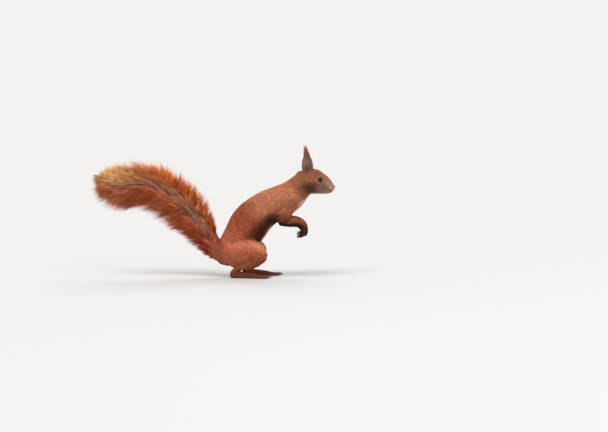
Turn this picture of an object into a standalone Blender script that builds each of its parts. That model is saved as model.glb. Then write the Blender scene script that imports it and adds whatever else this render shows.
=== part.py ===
"""A Eurasian red squirrel, life size, upright on its hind feet with its hands hanging.

The animal faces +X, its left side is at +Y, and its soles rest on the plane z = 0.
The origin lies on that plane, below the middle of the animal's length and breadth.

Head, neck, trunk, arms and legs are modelled as one fused body, which thin cuts then divide.
Tail, paws, ears, nose, eyes and claws are forms of their own, seated in it with the same gap.
The forms reach to the tips of the coat.
"""

from collections import namedtuple
from math import cos, pi, radians, sin

import bmesh
import bpy
import numpy as np
from mathutils import Matrix, Vector

# ------------------------------------------------------------------ units and clearances
MM = 0.001  # stations and sizes below are in millimetres, and meshes in metres
GAP = 0.3 * MM  # clearance between solids that meet
WELD = 0.0005 * MM  # points closer than this are one point
REACH = 600 * MM  # edge of a cutting block, larger than the animal
SIDES = {"left": 1, "right": -1}

# ----------------------------------------------------------------------------- resolution
# Points round a form's section, and rings added between two of its stations.
TRUNK_SIDES = 24
HEAD_SIDES = 20
TAIL_SIDES = 16
LIMB_SIDES = 14
PAW_SIDES = 12
DIGIT_SIDES = 8
CLAW_SIDES = 5
SLEEVE_SIDES = 8
BODY_STEPS = 3
TAIL_STEPS = 2
DIGIT_STEPS = 2
CAP_ANGLES = (35, 65)  # where rings round off a form's end, in degrees from its last station
CAP_DEPTH = 0.8  # how far an end bulges, as a share of its last station's smallest half-size
EYE_SEGMENTS = 12
NOSE_SEGMENTS = 8
CREASE = radians(50)  # faces that meet at more than this are shaded with an edge

# How forms are fused: cell of the common skin, rounds of smoothing, and triangles it keeps.
Fusing = namedtuple("Fusing", "cell rounds triangles")
BODY_FUSING = Fusing(1.3, 4, 1320)
HAND_FUSING = Fusing(0.5, 2, 265)
FOOT_FUSING = Fusing(0.6, 2, 270)

# A section of a form: its centre, its half-height above and below the centre line in the
# form's own plane, and its half-breadth across that plane.
Section = namedtuple("Section", "x y z up down wide")


def axial(x, z, up, down, wide):
    """A section on the animal's middle plane."""
    return Section(x, 0, z, up, down, wide)


def limb(x, y, z, deep, wide):
    """An oval section of a limb, on the left side."""
    return Section(x, y, z, deep, deep, wide)


# ------------------------------------------------------------------------- tail, tip first
TAIL = (
    axial(-175, 125, 25, 22, 5),
    axial(-164, 128, 33, 29, 8.5),
    axial(-146, 133, 37, 37, 12),
    axial(-120, 141, 38, 42, 14.5),
    axial(-88, 135, 40, 44, 16),
    axial(-53, 111, 43, 43, 16),
    axial(-24, 78, 33, 34, 16),
    axial(-5, 51, 15.5, 22, 15),
    axial(17, 36, 16, 17, 13),
)
TAIL_LENGTHS = ("tail_tip", "tail_upper", "tail_middle", "tail_base")
TAIL_CUTS = (2.4, 4.1, 5.7)  # where the tail is divided, in sections from its tip
CUT_STEPS = 10  # places to a section at which the tail can be cut
BRUSH_EDGE = 1.6  # exponent of the brush's oval: 2 is an ellipse, less has sharper edges

# ------------------------------------------------------------------- trunk, tail end first
TRUNK = (
    axial(13, 36, 17, 19, 14),
    axial(24, 40, 20, 25, 22),
    axial(37, 57, 24, 29, 27),
    axial(54, 80, 29, 30, 28),
    axial(76, 99, 28, 25, 27),
    axial(99, 111, 26, 24, 25),
    axial(117, 121, 23.5, 21, 21),
    axial(130, 133, 21, 17, 18),
    axial(141, 144, 18, 17, 16.5),
)
# Cuts across the trunk, from the head back: the piece ahead of the cut, x and z of a point on
# the cut, and how steeply the cut's normal climbs.
TRUNK_CUTS = (
    ("head", 131, 135, radians(38)),
    ("neck", 114, 119, radians(34)),
    ("chest", 72, 96, radians(40)),
    ("belly", 44, 66, radians(52)),
)

# ----------------------------------------------------------------------------------- head
MUZZLE_TIP = Vector((177.6, 0, 133.5)) * MM
HEAD_PITCH = radians(21)  # the muzzle points down by this much
# Sections behind the muzzle's tip: distance, height of the crown and depth of the jaw from
# the head's axis, and half-breadth.
HEAD = (
    (50, 9, 14, 14),
    (44, 14, 19, 16.6),
    (36, 17.2, 21.5, 17.8),
    (28, 18.2, 19.8, 16.5),
    (21, 16.8, 17.2, 13.6),
    (15, 14.8, 14.8, 10.8),
    (9, 12.6, 12.6, 8.7),
    (4, 9.8, 10.6, 7.4),
    (0, 5.8, 7.4, 5.2),
)
MOUTH_DROP = 4.6  # depth of the parting between muzzle and lower jaw, below the head's axis
JAW_REACH = 23  # how far behind the tip the lower jaw reaches
JAW_BLOCK = (43, 17, 40)  # length, breadth and height of the block that parts the jaw
EYE_PLACE = (22.4, 10.3, 6.2)  # behind the tip, out from the middle, above the axis
EYE_RADIUS = 4.5
NOSE_PLACE = (-1.5, 0, 3.2)
NOSE_SIZE = (2.2, 2.9, 2.3)  # half-length, half-breadth and half-height of the nose pad

EAR_BASE = (142.5, 10.2, 155)
EAR_LEAN = radians(-5)  # backwards
EAR_SPLAY = radians(9)  # outwards
EAR_TURN = radians(62)  # from opening straight ahead towards opening sideways
# Rings up the ear: height, half-breadth, depth of the cup, and its hollow's share of both.
EAR = (
    (0, 6.6, 5.6, 0.66),
    (5, 8.6, 6.8, 0.70),
    (12, 9.5, 6.8, 0.74),
    (19, 8.4, 5.4, 0.74),
    (25, 5.6, 3.8, 0.66),
    (29.5, 3.2, 2.4, 0.45),
    (34, 1.9, 1.7, 0.25),
    (40, 0.5, 0.5, 0.10),
)
EAR_POINTS = 7  # points across the back of an ear, and as many across its hollow

# ----------------------------------------------------------------------------------- arms
UPPER_ARM = (
    limb(112, 12, 112, 13, 9),
    limb(107, 15.5, 99, 11.5, 9),
    limb(103, 17, 87, 8.8, 7),
)
FOREARM = (
    limb(103, 17, 86.5, 8.6, 7),
    limb(114, 15.5, 84, 7.6, 5.7),
    limb(122, 14, 83.5, 7.0, 5.2),
    limb(129.9, 12.8, 81, 6.5, 4.9),
    limb(134.9, 12.3, 75.7, 6.1, 4.6),
    limb(136, 12, 69.5, 5.6, 4.3),
)
PALM = (
    limb(135.4, 12.2, 74, 5.9, 4.3),
    limb(136.2, 12, 69, 5.5, 4.7),
    limb(136.2, 12, 65.8, 4.6, 4.9),
)
WRIST_CUT = ((135, 0, 72.5), (0.42, 0, -0.91))  # a point on the cut, and the way to the hand
LIMB_GROWTH = 2.2  # how far a limb's share of the body reaches outside the limb's own form
FINGER_SPACING = 2.9
FINGER_SPREAD = 1.12  # spacing of the fingertips, as a share of the knuckles'
# Joints of a finger, x and z, when it is held open and when it is curled.
FINGER_OPEN = np.array(((136.0, 64.8), (133.4, 61.9), (130.6, 60.4), (128.0, 60.2)))
FINGER_CURLED = np.array(((136.0, 66.8), (132.8, 65.6), (130.0, 66.2), (127.7, 66.4)))
FINGER_RADII = (1.75, 1.45, 1.3, 1.1)
FINGER_CURLS = (0, 0.15, 0.8, 1)  # how far each finger is curled, inner finger first
# A finger's claw from its tip: forwards, upwards, and radius.
FINGER_CLAW = ((0.9, 0.0, 0.85), (-1.2, 0.1, 0.70), (-2.9, -1.3, 0.30))

# ----------------------------------------------------------------------------------- legs
THIGH = (
    limb(28, 17, 38, 22, 12.5),
    limb(46, 20.5, 39.5, 21.5, 12.5),
    limb(60, 23, 40, 18, 10.5),
    limb(70.5, 24, 38, 12.5, 8),
)
KNEE = (limb(71, 24, 38, 10.5, 8), limb(73, 24.5, 30, 8.5, 7))
SHANK = {
    "right": (
        limb(72, 24, 31, 8.5, 6.9),
        limb(57, 23.5, 21.5, 7.8, 6.4),
        limb(41, 22, 14.5, 6.4, 5.6),
        limb(32, 20, 9, 5.6, 5.0),
    ),
    "left": (
        limb(72, 24, 31, 8.5, 6.9),
        limb(66, 23.5, 21.8, 7.8, 6.5),
        limb(56.5, 22, 14.8, 6.4, 5.6),
        limb(49.5, 20, 9, 5.6, 5.0),
    ),
}
ANKLE_CUT = ((0, 0, 12.5), (0, 0, -1))
FOOT_FORWARD = {"left": 18, "right": 0}
SOLE_PRESS = 1.0  # how far a foot's round underside is pressed flat against the ground
FOOT = (
    limb(29, 19.5, 6.2, 5.8, 5.0),
    limb(38, 20, 5.6, 5.6, 5.4),
    limb(52, 21.5, 4.4, 4.8, 6.2),
    limb(64, 23, 3.4, 4.0, 7.2),
)
ANKLE = (limb(30, 19.5, 7, 5.6, 5.0), limb(36, 20.6, 15, 6.2, 5.4))
TOE_LENGTHS = (12, 16.5, 18.5, 18, 14.5)  # inner toe first
TOE_ROOT = (63, 23)  # x, y of the middle toe's root
TOE_SPACING = 3.5
TOE_SPREAD = 1.42  # spacing of the toes' tips, as a share of their roots'
TOE_RADII = (2.1, 1.9, 1.75)  # at a toe's root, middle and tip
TOE_HEIGHTS = (3.2, 3.6, 2.2)  # of the same places above the unpressed sole
# A toe's claw from its tip: forwards, height, and radius.
TOE_CLAW = ((0.6, 2.9, 1.00), (3.2, 2.7, 0.80), (5.4, 1.1, 0.30))

COLOURS = {
    "coat": ((0.42, 0.13, 0.05), 0.85),
    "brush": ((0.35, 0.08, 0.03), 0.85),
    "paw": ((0.13, 0.05, 0.03), 0.80),
    "eye": ((0.01, 0.006, 0.004), 0.08),
    "nose": ((0.10, 0.05, 0.04), 0.50),
    "claw": ((0.03, 0.02, 0.015), 0.35),
}


# ----------------------------------------------------------------------- mesh and modifiers
def new_object(name, bm):
    """An object of that name holding the bmesh, in flat faces that all point outwards."""
    bmesh.ops.triangulate(bm, faces=bm.faces)
    bmesh.ops.recalc_face_normals(bm, faces=bm.faces)
    mesh = bpy.data.meshes.new(name)
    bm.to_mesh(mesh)
    bm.free()
    obj = bpy.data.objects.new(name, mesh)
    bpy.context.scene.collection.objects.link(obj)
    return obj


def discard(*objects):
    for obj in objects:
        bpy.data.objects.remove(obj)


def bake_modifiers(obj):
    """Gives the object the mesh that its modifiers make, and takes them away."""
    depsgraph = bpy.context.evaluated_depsgraph_get()
    mesh = bpy.data.meshes.new_from_object(obj.evaluated_get(depsgraph))
    obj.modifiers.clear()
    obj.data = mesh


def copy_of(obj, name):
    twin = bpy.data.objects.new(name, obj.data.copy())
    bpy.context.scene.collection.objects.link(twin)
    return twin


def grow(obj, distance):
    """Moves a form's surface outwards."""
    normals = [vertex.normal.copy() for vertex in obj.data.vertices]
    for vertex, normal in zip(obj.data.vertices, normals):
        vertex.co += normal * distance
    obj.data.update()


def keep_largest(obj):
    """Clears away the chips that a cut can leave beside the main body."""
    bm = bmesh.new()
    bm.from_mesh(obj.data)
    bmesh.ops.dissolve_degenerate(bm, edges=bm.edges, dist=WELD)
    unseen = set(bm.verts)
    bodies = []
    while unseen:
        body = {unseen.pop()}
        front = list(body)
        while front:
            vertex = front.pop()
            for edge in vertex.link_edges:
                other = edge.other_vert(vertex)
                if other not in body:
                    body.add(other)
                    front.append(other)
        unseen -= body
        bodies.append(body)
    largest = max(bodies, key=len)
    chips = [vertex for vertex in bm.verts if vertex not in largest]
    bmesh.ops.delete(bm, geom=chips, context="VERTS")
    bm.to_mesh(obj.data)
    bm.free()


def boolean(obj, tool, operation):
    modifier = obj.modifiers.new("cut", "BOOLEAN")
    modifier.object = tool
    modifier.operation = operation
    modifier.solver = "EXACT"
    bake_modifiers(obj)
    keep_largest(obj)


def carve(body, tool, name):
    """Takes what lies inside the tool off a body as a piece, and leaves a gap between them."""
    piece = copy_of(body, name)
    boolean(piece, tool, "INTERSECT")
    grow(tool, GAP)
    boolean(body, tool, "DIFFERENCE")
    discard(tool)
    return piece


def seat(piece, *hosts):
    """Cuts each host back to one gap from the piece."""
    socket = copy_of(piece, "socket")
    grow(socket, GAP)
    for host in hosts:
        boolean(host, socket, "DIFFERENCE")
    discard(socket)


def half_space(point, direction):
    """A block whose one face passes through the point, on the side that direction points to."""
    bm = bmesh.new()
    turn = Vector(direction).to_track_quat("Z", "Y").to_matrix().to_4x4()
    place = Matrix.Translation(Vector(point)) @ turn @ Matrix.Translation((0, 0, REACH / 2))
    bmesh.ops.create_cube(bm, size=REACH, matrix=place)
    return new_object("cutter", bm)


def joined(name, forms):
    """Forms as one mesh, before they are fused."""
    bm = bmesh.new()
    for form in forms:
        bm.from_mesh(form.data)
    discard(*forms)
    return new_object(name, bm)


def fuse(name, forms, fusing):
    """One closed skin round overlapping forms, smoothed and thinned to a count of triangles."""
    body = joined(name, forms)
    remesh = body.modifiers.new("fuse", "REMESH")
    remesh.mode = "VOXEL"
    remesh.voxel_size = fusing.cell * MM
    fair = body.modifiers.new("fair", "SMOOTH")
    fair.iterations = fusing.rounds
    bake_modifiers(body)
    body.data.calc_loop_triangles()
    thin = body.modifiers.new("thin", "DECIMATE")
    thin.ratio = fusing.triangles / len(body.data.loop_triangles)
    bake_modifiers(body)
    keep_largest(body)
    return body


# ---------------------------------------------------------------------------------- lofting
def spline(sections, steps):
    """Rows of a smooth curve through the sections, in metres, with so many rows to a span."""
    table = np.array(sections, dtype=float) * MM
    first = 2 * table[0] - table[1]
    last = 2 * table[-1] - table[-2]
    table = np.vstack([first, table, last])
    rows = []
    for before, start, end, after in zip(table, table[1:], table[2:], table[3:]):
        slope = end - before
        bend = 2 * before - 5 * start + 4 * end - after
        twist = 3 * (start - end) + after - before
        for t in np.arange(steps) / steps:
            rows.append(start + (slope * t + bend * t ** 2 + twist * t ** 3) / 2)
    rows.append(table[-2])
    return np.array(rows)


def path_frame(rows):
    """Unit vectors along, across and up at every row of a path."""
    along = np.gradient(rows[:, :3], axis=0)
    along /= np.linalg.norm(along, axis=1)[:, None]
    across = np.array((0, 1, 0)) - along * along[:, 1:2]
    across /= np.linalg.norm(across, axis=1)[:, None]
    return along, across, np.cross(along, across)


def bridge(bm, rings, first_pole, last_pole):
    """Closes a run of equal rings with quads, and its two ends with fans to the poles."""
    rings = [[bm.verts.new(point) for point in ring] for ring in rings]
    for ring, following in zip(rings, rings[1:]):
        for index in range(len(ring)):
            other = (index + 1) % len(ring)
            bm.faces.new((ring[index], ring[other], following[other], following[index]))
    for ring, pole in ((rings[0], first_pole), (rings[-1], last_pole)):
        tip = bm.verts.new(pole)
        for index in range(len(ring)):
            bm.faces.new((ring[index], ring[(index + 1) % len(ring)], tip))


def loft(name, sections, sides, steps=BODY_STEPS, edge=2, cap_angles=CAP_ANGLES):
    """A closed form through the sections, its ends rounded by rings at the cap angles."""
    rows = spline(sections, steps)
    along, across, up = path_frame(rows)
    angles = np.arange(sides) * 2 * pi / sides
    side_share = np.sign(np.cos(angles)) * abs(np.cos(angles)) ** (2 / edge)
    rise_share = np.sign(np.sin(angles)) * abs(np.sin(angles)) ** (2 / edge)

    def ring(index, shrink=1.0, shift=0.0):
        centre = rows[index, :3] + along[index] * shift
        height = np.where(rise_share > 0, rows[index, 3], rows[index, 4]) * rise_share
        return [centre + shrink * (across[index] * rows[index, 5] * side + up[index] * rise)
                for side, rise in zip(side_share, height)]

    last = len(rows) - 1
    bulge = [CAP_DEPTH * rows[index, 3:6].min() for index in (0, last)]
    cap = [(cos(radians(angle)), sin(radians(angle))) for angle in cap_angles]
    rings = [ring(0, shrink, -shift * bulge[0]) for shrink, shift in reversed(cap)]
    rings += [ring(index) for index in range(last + 1)]
    rings += [ring(last, shrink, shift * bulge[1]) for shrink, shift in cap]
    bm = bmesh.new()
    bridge(bm, rings, rows[0, :3] - along[0] * bulge[0], rows[last, :3] + along[last] * bulge[1])
    return new_object(name, bm)


def ball(name, centre, radii, segments):
    """An ellipsoid along the head's axis, with its poles in front and behind."""
    bm = bmesh.new()
    turn = Matrix.Rotation(HEAD_PITCH, 4, "Y")
    poles = Matrix.Rotation(pi / 2, 4, "Y")
    place = Matrix.Translation(centre) @ turn @ Matrix.Diagonal((*radii, 1)) @ poles
    rings = segments // 2
    bmesh.ops.create_uvsphere(bm, u_segments=segments, v_segments=rings, radius=1, matrix=place)
    return new_object(name, bm)


# ------------------------------------------------------------------------------------- head
def on_head(behind, out, above):
    """World place of a point given behind the muzzle's tip, out to the left and above the axis."""
    back = Vector((-cos(HEAD_PITCH), 0, sin(HEAD_PITCH)))
    up = Vector((sin(HEAD_PITCH), 0, cos(HEAD_PITCH)))
    return MUZZLE_TIP + (back * behind + up * above + Vector((0, out, 0))) * MM


def head_form():
    sections = []
    for behind, crown, jaw, wide in HEAD:
        centre = on_head(behind, 0, 0) / MM
        sections.append(Section(*centre, crown, jaw, wide))
    return loft("head_form", sections, HEAD_SIDES)


def lower_jaw(head):
    """The chin and its two sides, below the mouth's parting."""
    length, _, height = JAW_BLOCK
    middle = on_head(JAW_REACH - length / 2, 0, -MOUTH_DROP - height / 2)
    turn = Matrix.Rotation(HEAD_PITCH, 4, "Y")
    size = Matrix.Diagonal((*Vector(JAW_BLOCK) * MM, 1))
    bm = bmesh.new()
    bmesh.ops.create_cube(bm, size=1, matrix=Matrix.Translation(middle) @ turn @ size)
    return carve(head, new_object("cutter", bm), "lower_jaw")


def ear_form(name):
    """The left ear: a cup that opens forwards and sideways and ends in a tuft."""
    angles = np.linspace(-pi / 2, pi / 2, EAR_POINTS)
    place = (Matrix.Translation(Vector(EAR_BASE) * MM) @ Matrix.Rotation(-EAR_SPLAY, 4, "X")
             @ Matrix.Rotation(EAR_LEAN, 4, "Y") @ Matrix.Rotation(EAR_TURN, 4, "Z"))
    rings = []
    for height, breadth, depth, hollow in EAR:
        outer = [Vector((-depth * cos(a), breadth * sin(a), height)) for a in angles]
        inner = [Vector((hollow * p.x, hollow * p.y, height)) for p in reversed(outer)]
        rings.append([place @ (point * MM) for point in outer + inner])
    bm = bmesh.new()
    bridge(bm, rings, *[sum(ring, Vector()) / len(ring) for ring in (rings[0], rings[-1])])
    return new_object(name, bm)


# ------------------------------------------------------------------------------------- paws
def digit_sections(y_from, y_to, points):
    """Sections of a toe, finger or claw: x, z and radius at each point, drifting sideways."""
    drift = np.linspace(y_from, y_to, len(points))
    return [limb(x, y, z, radius, radius) for y, (x, z, radius) in zip(drift, points)]


def digit_form(y_from, y_to, points):
    return loft("digit_form", digit_sections(y_from, y_to, points), DIGIT_SIDES, DIGIT_STEPS)


def claw_form(name, y, points):
    return loft(name, digit_sections(y, y, points), CLAW_SIDES, steps=1, cap_angles=())


def across_paw(index, count, spacing):
    """How far a digit lies outwards from the middle of so many."""
    return (index - (count - 1) / 2) * spacing


def hand_form(name):
    """The left hand with its fingers, and its claws."""
    forms = [loft("palm", PALM, PAW_SIDES)]
    claws = []
    for index, curl in enumerate(FINGER_CURLS):
        out = across_paw(index, len(FINGER_CURLS), FINGER_SPACING)
        knuckle = PALM[-1].y + out
        fingertip = PALM[-1].y + out * FINGER_SPREAD
        joints = FINGER_OPEN + (FINGER_CURLED - FINGER_OPEN) * curl
        forms.append(digit_form(knuckle, fingertip, np.column_stack([joints, FINGER_RADII])))
        tip_x, tip_z = joints[-1]
        hook = [(tip_x + x, tip_z + z, radius) for x, z, radius in FINGER_CLAW]
        claws.append(claw_form(f"{name}_claw_{index + 1}", fingertip, hook))
    return fuse(name, forms, HAND_FUSING), claws


def foot_form(name, forward):
    """The left foot with its toes, flat underneath, and its claws."""
    forms = [loft("sole", FOOT, PAW_SIDES), loft("ankle", ANKLE, PAW_SIDES)]
    claws = []
    root_x, root_y = TOE_ROOT
    for index, length in enumerate(TOE_LENGTHS):
        out = across_paw(index, len(TOE_LENGTHS), TOE_SPACING)
        tip_y = root_y + out * TOE_SPREAD
        joints = np.linspace(root_x, root_x + length, len(TOE_RADII))
        arch = np.column_stack([joints, TOE_HEIGHTS, TOE_RADII])
        forms.append(digit_form(root_y + out, tip_y, arch))
        hook = [(joints[-1] + x, height, radius) for x, height, radius in TOE_CLAW]
        claws.append(claw_form(f"{name}_claw_{index + 1}", tip_y, hook))
    foot = fuse(name, forms, FOOT_FUSING)
    foot.data.transform(Matrix.Translation((0, 0, -SOLE_PRESS * MM)))
    for form in [foot, *claws]:
        form.data.transform(Matrix.Translation((forward * MM, 0, 0)))
    trim(foot, half_space((0, 0, 0), (0, 0, -1)))
    return foot, claws


# -------------------------------------------------------------------------------- the body
def grown(section, growth):
    """A section made larger all round."""
    up, down, wide = np.array(section[3:]) + growth
    return Section(section.x, section.y, section.z, up, down, wide)


def on_side(form, side):
    """Leaves a left form as it is, or turns it into its mirror image for the right."""
    if side == "right":
        form.data.transform(Matrix.Scale(-1, 4, Vector((0, 1, 0))))
        form.data.flip_normals()
    return form


def limb_form(sections, side):
    return on_side(loft("limb_form", sections, LIMB_SIDES), side)


def sleeve(sections, side):
    """A form a little thicker than a limb's own, which marks out the limb's share of the body."""
    wider = [grown(section, LIMB_GROWTH) for section in sections]
    return on_side(loft("sleeve", wider, SLEEVE_SIDES, steps=1), side)


def body_form():
    """Trunk, head, arms and legs in one fused surface."""
    forms = [loft("trunk_form", TRUNK, TRUNK_SIDES), head_form()]
    for side in SIDES:
        runs = (UPPER_ARM, FOREARM, THIGH, KNEE, SHANK[side])
        forms += [limb_form(run, side) for run in runs]
    return fuse("rump", forms, BODY_FUSING)


def cut_at(cut, shift=0.0, back=False):
    """A half-space beyond a cut, or the one behind it, moved so far along the cut's normal."""
    point, direction = Vector(cut[0]) * MM, Vector(cut[1]).normalized()
    return half_space(point + direction * shift, -direction if back else direction)


def trim(obj, tool):
    """Removes what lies inside the tool."""
    boolean(obj, tool, "DIFFERENCE")
    discard(tool)


def part_arm(body, side):
    """Upper arm, forearm, hand and its claws of one side."""
    forearm = carve(body, sleeve(FOREARM, side), f"forearm_{side}")
    upper = carve(body, sleeve(UPPER_ARM, side), f"upper_arm_{side}")
    trim(forearm, cut_at(WRIST_CUT))
    hand, claws = hand_form(f"hand_{side}")
    hand = on_side(hand, side)
    claws = [on_side(claw, side) for claw in claws]
    trim(hand, cut_at(WRIST_CUT, GAP, back=True))
    for claw in claws:
        seat(claw, hand)
    return [upper, forearm], [hand], claws


def part_leg(body, side):
    """Thigh, shank, foot and its claws of one side."""
    shank = carve(body, sleeve(SHANK[side], side), f"shank_{side}")
    thigh = carve(body, sleeve(THIGH, side), f"thigh_{side}")
    trim(shank, cut_at(ANKLE_CUT))
    foot, claws = foot_form(f"foot_{side}", FOOT_FORWARD[side])
    foot = on_side(foot, side)
    claws = [on_side(claw, side) for claw in claws]
    trim(foot, cut_at(ANKLE_CUT, GAP, back=True))
    for claw in claws:
        seat(claw, foot)
    return [thigh, shank], [foot], claws


def part_trunk(body):
    """Head, neck, chest and belly off the body, which is left as the rump."""
    pieces = []
    for name, x, z, climb in TRUNK_CUTS:
        cut = ((x, 0, z), (cos(climb), 0, sin(climb)))
        pieces.append(carve(body, cut_at(cut), name))
    return pieces


def part_tail(tail):
    """Divides the brush across its length."""
    rows = spline(TAIL, CUT_STEPS)
    along, _, _ = path_frame(rows)
    pieces = []
    for name, place in zip(TAIL_LENGTHS, TAIL_CUTS):
        index = round(place * CUT_STEPS)
        pieces.append(carve(tail, half_space(rows[index, :3], -along[index]), name))
    return [*pieces, tail]


# --------------------------------------------------------------------------------- assembly
def finish(obj, slot):
    """Shades a node smooth across its round faces and gives it its slot's material."""
    colour, roughness = COLOURS[slot]
    material = bpy.data.materials.get(slot) or bpy.data.materials.new(slot)
    material.use_nodes = True
    shader = material.node_tree.nodes["Principled BSDF"]
    shader.inputs["Base Color"].default_value = (*colour, 1)
    shader.inputs["Roughness"].default_value = roughness
    shader.inputs["Metallic"].default_value = 0
    obj.data.materials.clear()
    obj.data.materials.append(material)
    obj.data.shade_smooth()
    obj.data.set_sharp_from_angle(angle=CREASE)


def build():
    for obj in list(bpy.data.objects):
        bpy.data.objects.remove(obj)
    body = body_form()
    tail = loft(TAIL_LENGTHS[-1], TAIL, TAIL_SIDES, TAIL_STEPS, edge=BRUSH_EDGE)
    ears = [on_side(ear_form(f"ear_{side}"), side) for side in SIDES]
    seat(body, tail, *ears)
    nodes = {slot: [] for slot in COLOURS}
    nodes["brush"] += part_tail(tail)
    nodes["coat"] += ears
    for side in SIDES:
        for part in (part_arm, part_leg):
            flesh, paws, claws = part(body, side)
            nodes["coat"] += flesh
            nodes["paw"] += paws
            nodes["claw"] += claws
    head, *pieces = part_trunk(body)
    jaw = lower_jaw(head)
    nose = ball("nose", on_head(*NOSE_PLACE), Vector(NOSE_SIZE) * MM, NOSE_SEGMENTS)
    seat(nose, head, jaw)
    behind, out, above = EYE_PLACE
    for side, sign in SIDES.items():
        place = on_head(behind, sign * out, above)
        eye = ball(f"eye_{side}", place, [EYE_RADIUS * MM] * 3, EYE_SEGMENTS)
        seat(eye, head)
        nodes["eye"].append(eye)
    nodes["coat"] += [head, jaw, *pieces, body]
    nodes["nose"].append(nose)
    for slot, members in nodes.items():
        for obj in members:
            finish(obj, slot)


build()
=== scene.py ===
"""The looks of a still red squirrel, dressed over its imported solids.

One skin stands for every node of flesh, with its lids, lips and ear hollows. It lies inside the
solids by the depth of the coat, and the coat's tufts reach back out to them. The tail's long
hairs spread from a thin bone to the outline of the tail's solids. Lengths are in metres, and MM
turns millimetres into metres. The squirrel faces +X, and its left side is at +Y.
"""

import math
from collections import namedtuple

import bmesh
import bpy
import numpy as np
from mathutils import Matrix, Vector
from mathutils.bvhtree import BVHTree
from mathutils.kdtree import KDTree


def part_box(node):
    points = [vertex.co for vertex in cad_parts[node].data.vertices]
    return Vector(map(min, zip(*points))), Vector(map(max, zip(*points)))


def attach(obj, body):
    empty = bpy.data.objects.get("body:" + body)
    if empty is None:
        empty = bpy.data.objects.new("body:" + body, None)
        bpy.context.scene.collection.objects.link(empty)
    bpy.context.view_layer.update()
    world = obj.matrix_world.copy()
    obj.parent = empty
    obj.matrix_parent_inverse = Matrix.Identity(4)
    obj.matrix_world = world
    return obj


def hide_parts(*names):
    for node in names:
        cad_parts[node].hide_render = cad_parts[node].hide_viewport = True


MM = 0.001
SEED = 20
FULLNESS = 1.0  # share of the coat's tufts that are made
SIDES = {"left": 1, "right": -1}

# ---- parts
MIDLINE_FLESH = ("head", "lower_jaw", "neck", "chest", "belly", "rump")
PAIRED_FLESH = ("ear", "upper_arm", "forearm", "hand", "thigh", "shank", "foot")
TAIL = ("tail_base", "tail_middle", "tail_upper", "tail_tip")
FINGERS = 4
TOES = 5

# ---- skin
SKIN_VOXEL = 0.5 * MM
SKIN_THINNING = 0.34  # share of the skin's triangles kept, most of them on the paws
GAP_CLOSING = 0.4 * MM  # how far a node is grown, so that neighbours fuse
PAW_CLOSING = 0.1 * MM  # the same for hands and feet, whose fingers and toes stay apart
SKIN_FAIRING = 6  # rounds of smoothing on the body, and on the paws
PAW_FAIRING = 2
LIE_FAIRING = 14  # rounds that smooth the coat's lie, the eyes' dips and the markings
DIP_FAIRING = 2
TINT_FAIRING = 3
REGION_BLEND = 4.5 * MM  # how far one region's coat runs into the next
UNDERCOAT_SHADE = 0.75  # the skin's tone, as a share of the coat's

# Tail's core: share of the bone's length from its root, and radius in millimetres.
TAIL_CORE = ((0.0, 11.0), (0.05, 13.0), (0.12, 11.5), (0.18, 9.8), (0.28, 8.8), (0.5, 8.0),
             (0.8, 5.6), (1.0, 2.0))
BONE_RISE = 6.5 * MM  # the bone lies nearer the tail's upper edge
BONE_REACH = 0.42  # how far the bone reaches into the tail's tip
BONE_START = 12  # millimetres of the bone that lie inside the rump
BONE_STEPS = 12  # rows between two of its joints


# ---- colours
def rgb(red, green, blue):
    """A colour of 0 to 255 as the linear light that shaders take."""
    share = np.array((red, green, blue)) / 255
    return np.where(share <= 0.04045, share / 12.92, ((share + 0.055) / 1.055) ** 2.4)


RUSSET = rgb(214, 142, 104)
FLANK = rgb(190, 100, 66)
HAUNCH = rgb(217, 124, 91)
SHANK_BROWN = rgb(158, 86, 50)
CROWN = rgb(176, 112, 78)
MUZZLE = rgb(196, 156, 136)
CHIN = rgb(222, 190, 160)
# The next colour is painted shadow, low on the cheek and jaw behind the eye.
CHEEK_SHADOW = rgb(76, 48, 34)
UPPER_ARM = rgb(196, 112, 74)
FOREARM_TAN = rgb(172, 96, 60)
PAW_DARK = rgb(66, 42, 28)
FOOT_BROWN = rgb(136, 78, 48)
EAR_BACK = rgb(124, 62, 38)
EAR_HOLLOW = rgb(150, 118, 116)
EAR_RIM = rgb(196, 140, 98)
CREAM = rgb(236, 212, 182)
EYE_RING = rgb(200, 156, 122)
PUPIL = rgb(8, 6, 6)
IRIS = rgb(44, 26, 16)
LID_DARK = rgb(40, 26, 20)
LIP_DARK = rgb(58, 36, 30)
# The next colour is painted shade under the arms and in the armpits.
UNDERARM_SHADE = rgb(36, 14, 6)
# The next colour is partly the lower flanks' own dark fur and partly painted shade where they face
# down.
LOW_FLANK_DARK_AND_SHADE = rgb(74, 28, 12)
# The next colour is a painted highlight on the thighs' tops.
THIGH_HIGHLIGHT = rgb(252, 174, 134)
CORE_GREY = rgb(168, 132, 112)
CORE_DARK = rgb(108, 78, 68)
TAIL_ROOT = rgb(168, 66, 38)
BASE_RED = rgb(174, 60, 30)
# The next two colours fall mostly on the brush's upper hairs: partly their own tan tips and pale
# strands, partly painted light shining through them from above.
END_TAN = rgb(244, 200, 132)
PALE_STRAND = rgb(244, 168, 100)
SIDE_GREY = rgb(166, 128, 108)
# The brush's hairs at four steps from root to tip, above the bone and below it.
UPPER_HAIR = (rgb(140, 96, 70), rgb(204, 100, 44), rgb(204, 100, 44), rgb(220, 134, 68))
LOWER_HAIR = (rgb(150, 84, 58), rgb(206, 106, 62), rgb(206, 106, 62), rgb(220, 122, 74))
HAIR_STEPS = (0.3, 0.55, 0.75, 0.95)

# ---- coat
Coat = namedtuple("Coat", "length depth width density lie colour")

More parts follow.
